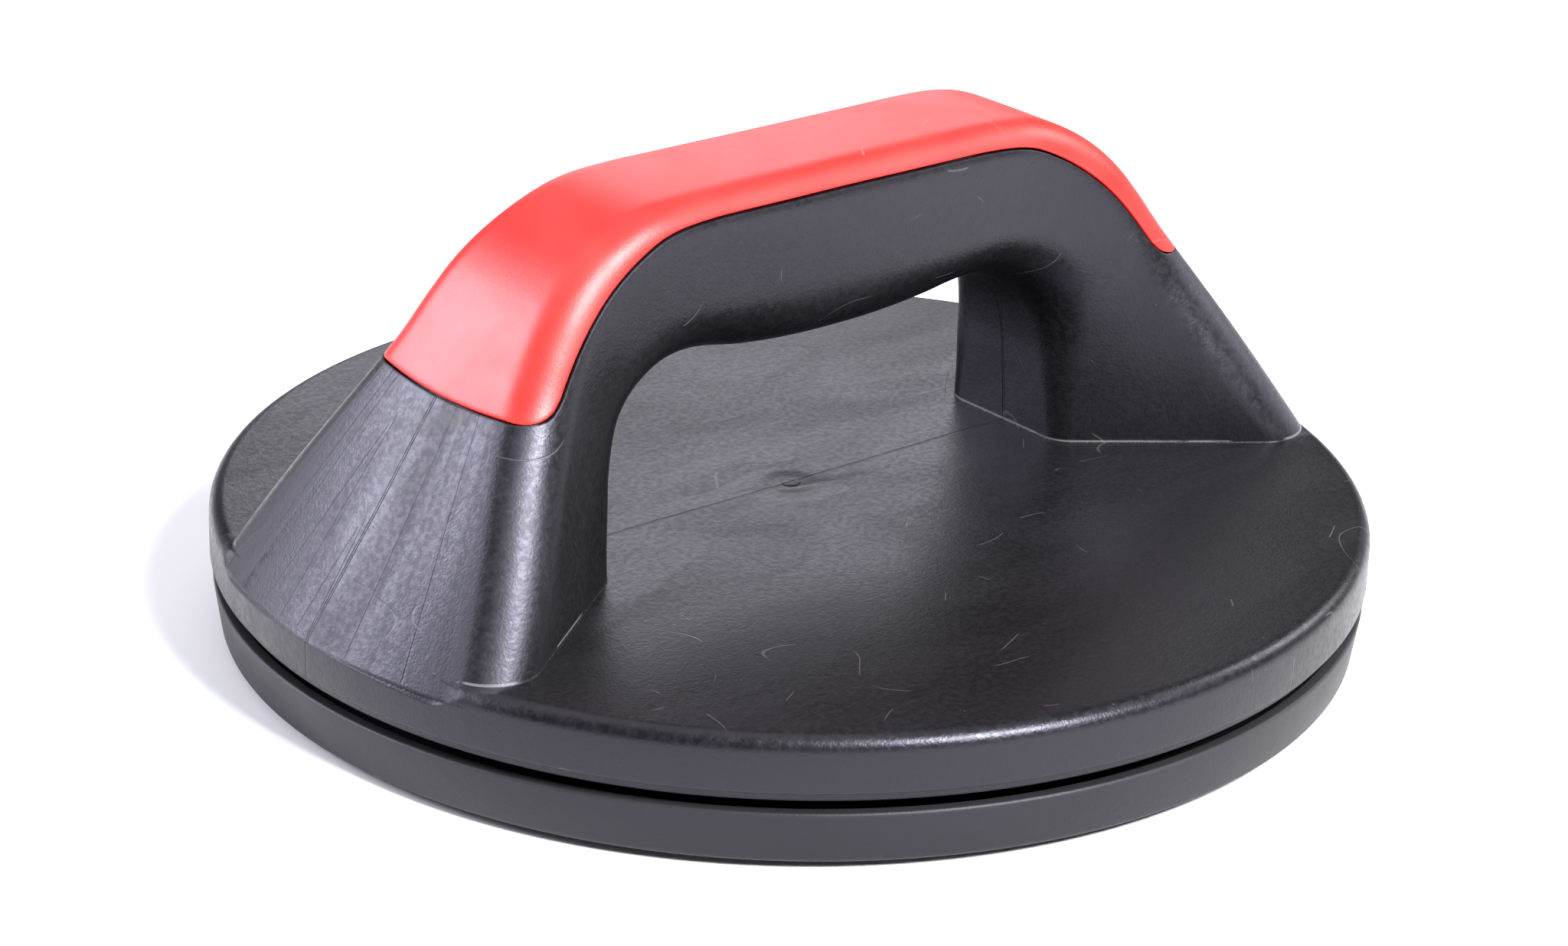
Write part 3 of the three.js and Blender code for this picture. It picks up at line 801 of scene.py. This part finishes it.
def housing_black():
    g = Graph("housing_black")
    above = g.band(g.z, 0.0222, 0.0240)
    post = g.times(g.mark("face"), above)                    # 1 on the posts' outer faces
    corner = g.times(g.mark("corner"), above)                # 1 along their rounded edges, where a highlight is painted
    parting = parting_line(g)
    flow, rays = post_streaks(g, post)
    fog = g.band(g.noise(19, 4.0, g.stretch(1.0, 2.2, 1.0), 0.55, 1.2), 0.38, 0.72)
    lines = g.larger(scratches(g, 26, 0.0028, 0.60, 0.31), scratches(g, 44, 0.0042, 0.60, 0.77))
    dust = g.larger(specks(g, 210, 0.035, 0.60), specks(g, 420, 0.05, 0.63))
    scuffs = end_scuffs(g, post)
    pores = g.band(g.noise(820, 2.0), 0.35, 0.65)
    # paler speckles of the painted highlight along the posts' rounded edges
    painted_highlight_specks = g.band(g.noise(900, 2.0), 0.50, 0.72, 0.0, 0.25)

    tone = g.mix(g.times(fog, 0.6), grey(0.0026, VIOLET), grey(0.0060, VIOLET))
    tone = g.mix(g.times(pores, 0.20), tone, grey(0.010, VIOLET))
    tone = g.mix(g.times(flow, 0.52), tone, grey(0.024, VIOLET))
    tone = g.mix(g.times(rays, 0.7), tone, grey(0.0015, VIOLET))
    # painted highlight: the posts' rounded edges lightened, in speckles and in a smooth band, where the
    # highlight stripe falls
    tone = g.mix(g.times(corner, painted_highlight_specks), tone, grey(0.05))
    tone = g.mix(g.times(g.band(corner, 0.45, 1.0), 0.55), tone, grey(0.05, VIOLET))
    tone = g.mix(g.times(parting, 0.75), tone, grey(0.002))
    tone = g.mix(g.times(lines, 0.25), tone, grey(0.16))
    tone = g.mix(g.times(g.larger(dust, g.times(scuffs, 0.7)), 0.45), tone, grey(0.25))
    tone = g.mix(g.times(foot_pale_line(g), 0.5), tone, grey(0.22))

    rough = g.plus(0.31, g.times(fog, 0.08))
    worn = g.larger(dust, scuffs)
    for share, amount in ((flow, 0.11), (corner, 0.02), (pores, 0.08), (worn, 0.2)):
        rough = g.plus(rough, g.times(share, amount))
    ridge = g.math("SUBTRACT", g.times(lines, -0.5), g.times(parting, 1.0))
    normal = gate_bumps(g, g.bump(ridge, 0.00007, grained(g)))
    normal = g.bump(g.plus(flow, g.times(rays, -1.0)), 0.00003, normal)
    return g.set(Base_Color=tone, Roughness=rough, Normal=normal, IOR=1.46,
                 Specular_Tint=(0.86, 0.84, 1.0, 1))


def base_black():
    g = Graph("base_black")
    clouds = g.band(g.noise(24, 3.0, None, 0.6, 0.8), 0.35, 0.7)
    dust = specks(g, 260, 0.035, 0.60)
    edge = g.band(g.z, 0.0106, 0.0112)
    tone = g.mix(clouds, grey(0.0032, VIOLET), grey(0.0062, VIOLET))
    tone = g.mix(g.times(edge, 0.5), tone, grey(0.03))
    tone = g.mix(g.times(dust, 0.5), tone, grey(0.3))
    rough = g.plus(0.40, g.plus(g.times(clouds, 0.08), g.times(g.noise(300, 2.0), 0.06)))
    return g.set(Base_Color=tone, Roughness=rough, Normal=grained(g, 0.9), IOR=1.46,
                 Specular_Tint=(0.88, 0.86, 1.0, 1))


def cover_red():
    g = Graph("cover_red")
    clouds = g.band(g.noise(26, 3.0, None, 0.55, 0.8), 0.35, 0.7)
    marks = scratches(g, 36, 0.004, 0.60, 0.53)
    dust = specks(g, 240, 0.03, 0.62)
    tone = g.mix(clouds, (0.78, 0.016, 0.013, 1), (0.84, 0.026, 0.021, 1))
    tone = g.mix(g.times(marks, 0.25), tone, (0.95, 0.35, 0.32, 1))
    tone = g.mix(g.times(dust, 0.5), tone, (0.5, 0.03, 0.03, 1))
    rough = g.plus(0.37, g.plus(g.times(clouds, 0.07), g.times(g.noise(300, 2.0), 0.05)))
    return g.set(Base_Color=tone, Roughness=rough, Normal=grained(g, 0.5), IOR=1.5,
                 Subsurface_Weight=0.12, Subsurface_Radius=(0.004, 0.001, 0.001), Subsurface_Scale=1.0)


def ring_rubber():
    g = Graph("ring_rubber")
    dust = g.band(g.noise(120, 4.0, None, 0.65), 0.5, 0.75)
    tone = g.mix(g.times(dust, 0.5), grey(0.014), grey(0.05))
    rough = g.plus(0.74, g.times(dust, 0.15))
    normal = g.bump(g.noise(1400, 3.0), 0.00004)
    return g.set(Base_Color=tone, Roughness=rough, Normal=normal)


def cage_nylon():
    g = Graph("cage_nylon")
    clouds = g.noise(60, 3.0)
    tone = g.mix(clouds, (0.60, 0.58, 0.52, 1), (0.72, 0.70, 0.64, 1))
    rough = g.plus(0.42, g.times(g.noise(400, 2.0), 0.12))
    return g.set(Base_Color=tone, Roughness=rough, Normal=g.bump(g.noise(1800, 2.0), 0.00002),
                 Subsurface_Weight=0.2, Subsurface_Radius=(0.002, 0.002, 0.0015), Subsurface_Scale=1.0)


def race_steel():
    g = Graph("race_steel")
    across_lines = g.joined(g.times(g.distance(g.x, g.y), 5200.0), g.times(g.z, 900.0), 0.0)
    turned_lines = g.noise(1.0, 3.0, across_lines)
    tone = g.mix(turned_lines, grey(0.42, (1, 1, 1.03)), grey(0.60))
    rough = g.plus(0.22, g.times(turned_lines, 0.18))
    return g.set(Base_Color=tone, Metallic=1.0, Roughness=rough, Normal=g.bump(turned_lines, 0.00001))


def ball_steel():
    g = Graph("ball_steel")
    haze = g.noise(500, 3.0)
    return g.set(Base_Color=g.mix(haze, grey(0.60), grey(0.72)), Metallic=1.0,
                 Roughness=g.plus(0.06, g.times(haze, 0.10)), Normal=g.bump(haze, 0.000004))


def screw_zinc():
    g = Graph("screw_zinc")
    bloom = g.noise(700, 4.0, None, 0.6)
    wear = g.band(g.noise(240, 3.0), 0.5, 0.7)
    tone = g.mix(bloom, grey(0.42, (1, 1, 1.05)), grey(0.66, (1, 1.0, 0.97)))
    rough = g.plus(0.24, g.times(wear, 0.22))
    return g.set(Base_Color=tone, Metallic=1.0, Roughness=rough, Normal=g.bump(bloom, 0.000015))


MAKERS = (
    housing_black, base_black, cover_red, ring_rubber,
    cage_nylon, race_steel, ball_steel, screw_zinc,
)
MATERIALS = {maker.__name__: maker() for maker in MAKERS}


def place(piece, body, node, slot):
    """Gives a piece its material and its body, and hides the CAD node that it stands for."""
    piece.data.materials.clear()
    piece.data.materials.append(MATERIALS[slot])
    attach(piece, body)
    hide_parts(node)


def dress(node, slot):
    """Gives a carried-over CAD node its material."""
    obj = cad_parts[node]
    if not obj.material_slots:
        obj.data.materials.append(MATERIALS[slot])
    for material_slot in obj.material_slots:
        material_slot.material = MATERIALS[slot]


# ---------- camera, light and floor, in metres ----------
CAMERA_AT = (-0.45882, -0.53971, 0.32303)
CAMERA_AIM = (0.5964, 0.7042, -0.3852)
CAMERA_ROLL = 1.72              # degrees
LENS, SENSOR = 92.5, 36         # millimetres
WORLD_LIGHT = 0.16
WORLD_BACKDROP = 0.93           # what the camera sees behind the floor
FLOOR_HALF = 1500               # millimetres, as all mesh points
COOL = (0.89, 0.88, 1.0)

# One row per softbox: name, place, target, size, watts, colour.
SOFTBOXES = (
    ("top", (-0.1, 0.3, 1.5), (0, 0, 0), (1.4, 1.4), 7.5, (1, 1, 1)),
    ("back", (0.40, 0.56, 0.32), (0, 0, 0.03), (0.42, 0.24), 1.0, (0.93, 0.91, 1.0)),
    ("back_left", (-0.95, 1.05, 0.72), (-0.07, 0, 0.05), (0.9, 0.6), 31, COOL),
    ("key", (0.05, -1.05, 0.97), (-0.05, 0, 0.06), (0.42, 0.36), 56, (0.97, 0.97, 1.0)),
    ("right", (1.10, -0.20, 0.75), (0, 0, 0.03), (0.4, 0.4), 7, (1, 1, 1)),
)


def camera():
    data = bpy.data.cameras.new("camera")
    data.sensor_width = SENSOR
    data.lens = LENS
    data.clip_start, data.clip_end = 0.01, 50
    obj = bpy.data.objects.new("camera", data)
    bpy.context.scene.collection.objects.link(obj)
    turn = Vector(CAMERA_AIM).normalized().to_track_quat("-Z", "Y").to_matrix().to_4x4()
    roll = Matrix.Rotation(math.radians(CAMERA_ROLL), 4, "Z")
    obj.matrix_world = Matrix.Translation(CAMERA_AT) @ turn @ roll
    bpy.context.scene.camera = obj


def softbox(name, place_at, target, size, power, color):
    data = bpy.data.lights.new(name, "AREA")
    data.shape = "RECTANGLE"
    data.size, data.size_y = size
    data.energy = power
    data.color = color
    obj = bpy.data.objects.new(name, data)
    bpy.context.scene.collection.objects.link(obj)
    obj.location = place_at
    obj.rotation_mode = "QUATERNION"
    obj.rotation_quaternion = (Vector(target) - Vector(place_at)).to_track_quat("-Z", "Y")
    obj.visible_camera = False


def studio():
    """Softboxes, and a white world that is dim as a light and bright as a backdrop."""
    world = bpy.data.worlds.new("studio")
    world.use_nodes = True
    tree = world.node_tree
    paths = tree.nodes.new("ShaderNodeLightPath")
    shade = tree.nodes.new("ShaderNodeMapRange")
    shade.inputs["To Min"].default_value = WORLD_LIGHT
    shade.inputs["To Max"].default_value = WORLD_BACKDROP
    tree.links.new(paths.outputs["Is Camera Ray"], shade.inputs["Value"])
    background = tree.nodes["Background"]
    background.inputs["Color"].default_value = (1, 1, 1, 1)
    tree.links.new(shade.outputs[0], background.inputs["Strength"])
    bpy.context.scene.world = world
    for row in SOFTBOXES:
        softbox(*row)
    bpy.context.scene.view_settings.view_transform = "Standard"


def floor():
    h = FLOOR_HALF
    piece = mesh_object("floor", [(-h, -h, 0), (h, -h, 0), (h, h, 0), (-h, h, 0)], [(0, 1, 2, 3)])
    g = Graph("floor")
    tone = g.mix(g.noise(2.0, 2.0), grey(0.83), grey(0.85))
    piece.data.materials.append(g.set(Base_Color=tone, Roughness=0.7))
    piece.location.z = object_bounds()[0][2]
    piece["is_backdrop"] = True


camera()
studio()
floor()

place(housing(), "turntable", "top_housing", "housing_black")
place(cover(), "turntable", "grip_cover", "cover_red")
place(base(), "base", "base_plate", "base_black")
place(ring(), "base", "floor_ring", "ring_rubber")
place(pivot_screw(), "turntable", "pivot_screw", "screw_zinc")
for record_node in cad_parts:
    if record_node.startswith("ball_") and record_node != "ball_cage":
        dress(record_node, "ball_steel")
for node_name, slot_name in (
    ("lower_race", "race_steel"), ("upper_race", "race_steel"), ("ball_cage", "cage_nylon"),
    ("pivot_bush", "cage_nylon"), ("pivot_washer", "screw_zinc"),
    ("cover_screw_right", "screw_zinc"), ("cover_screw_left", "screw_zinc"),
):
    dress(node_name, slot_name)
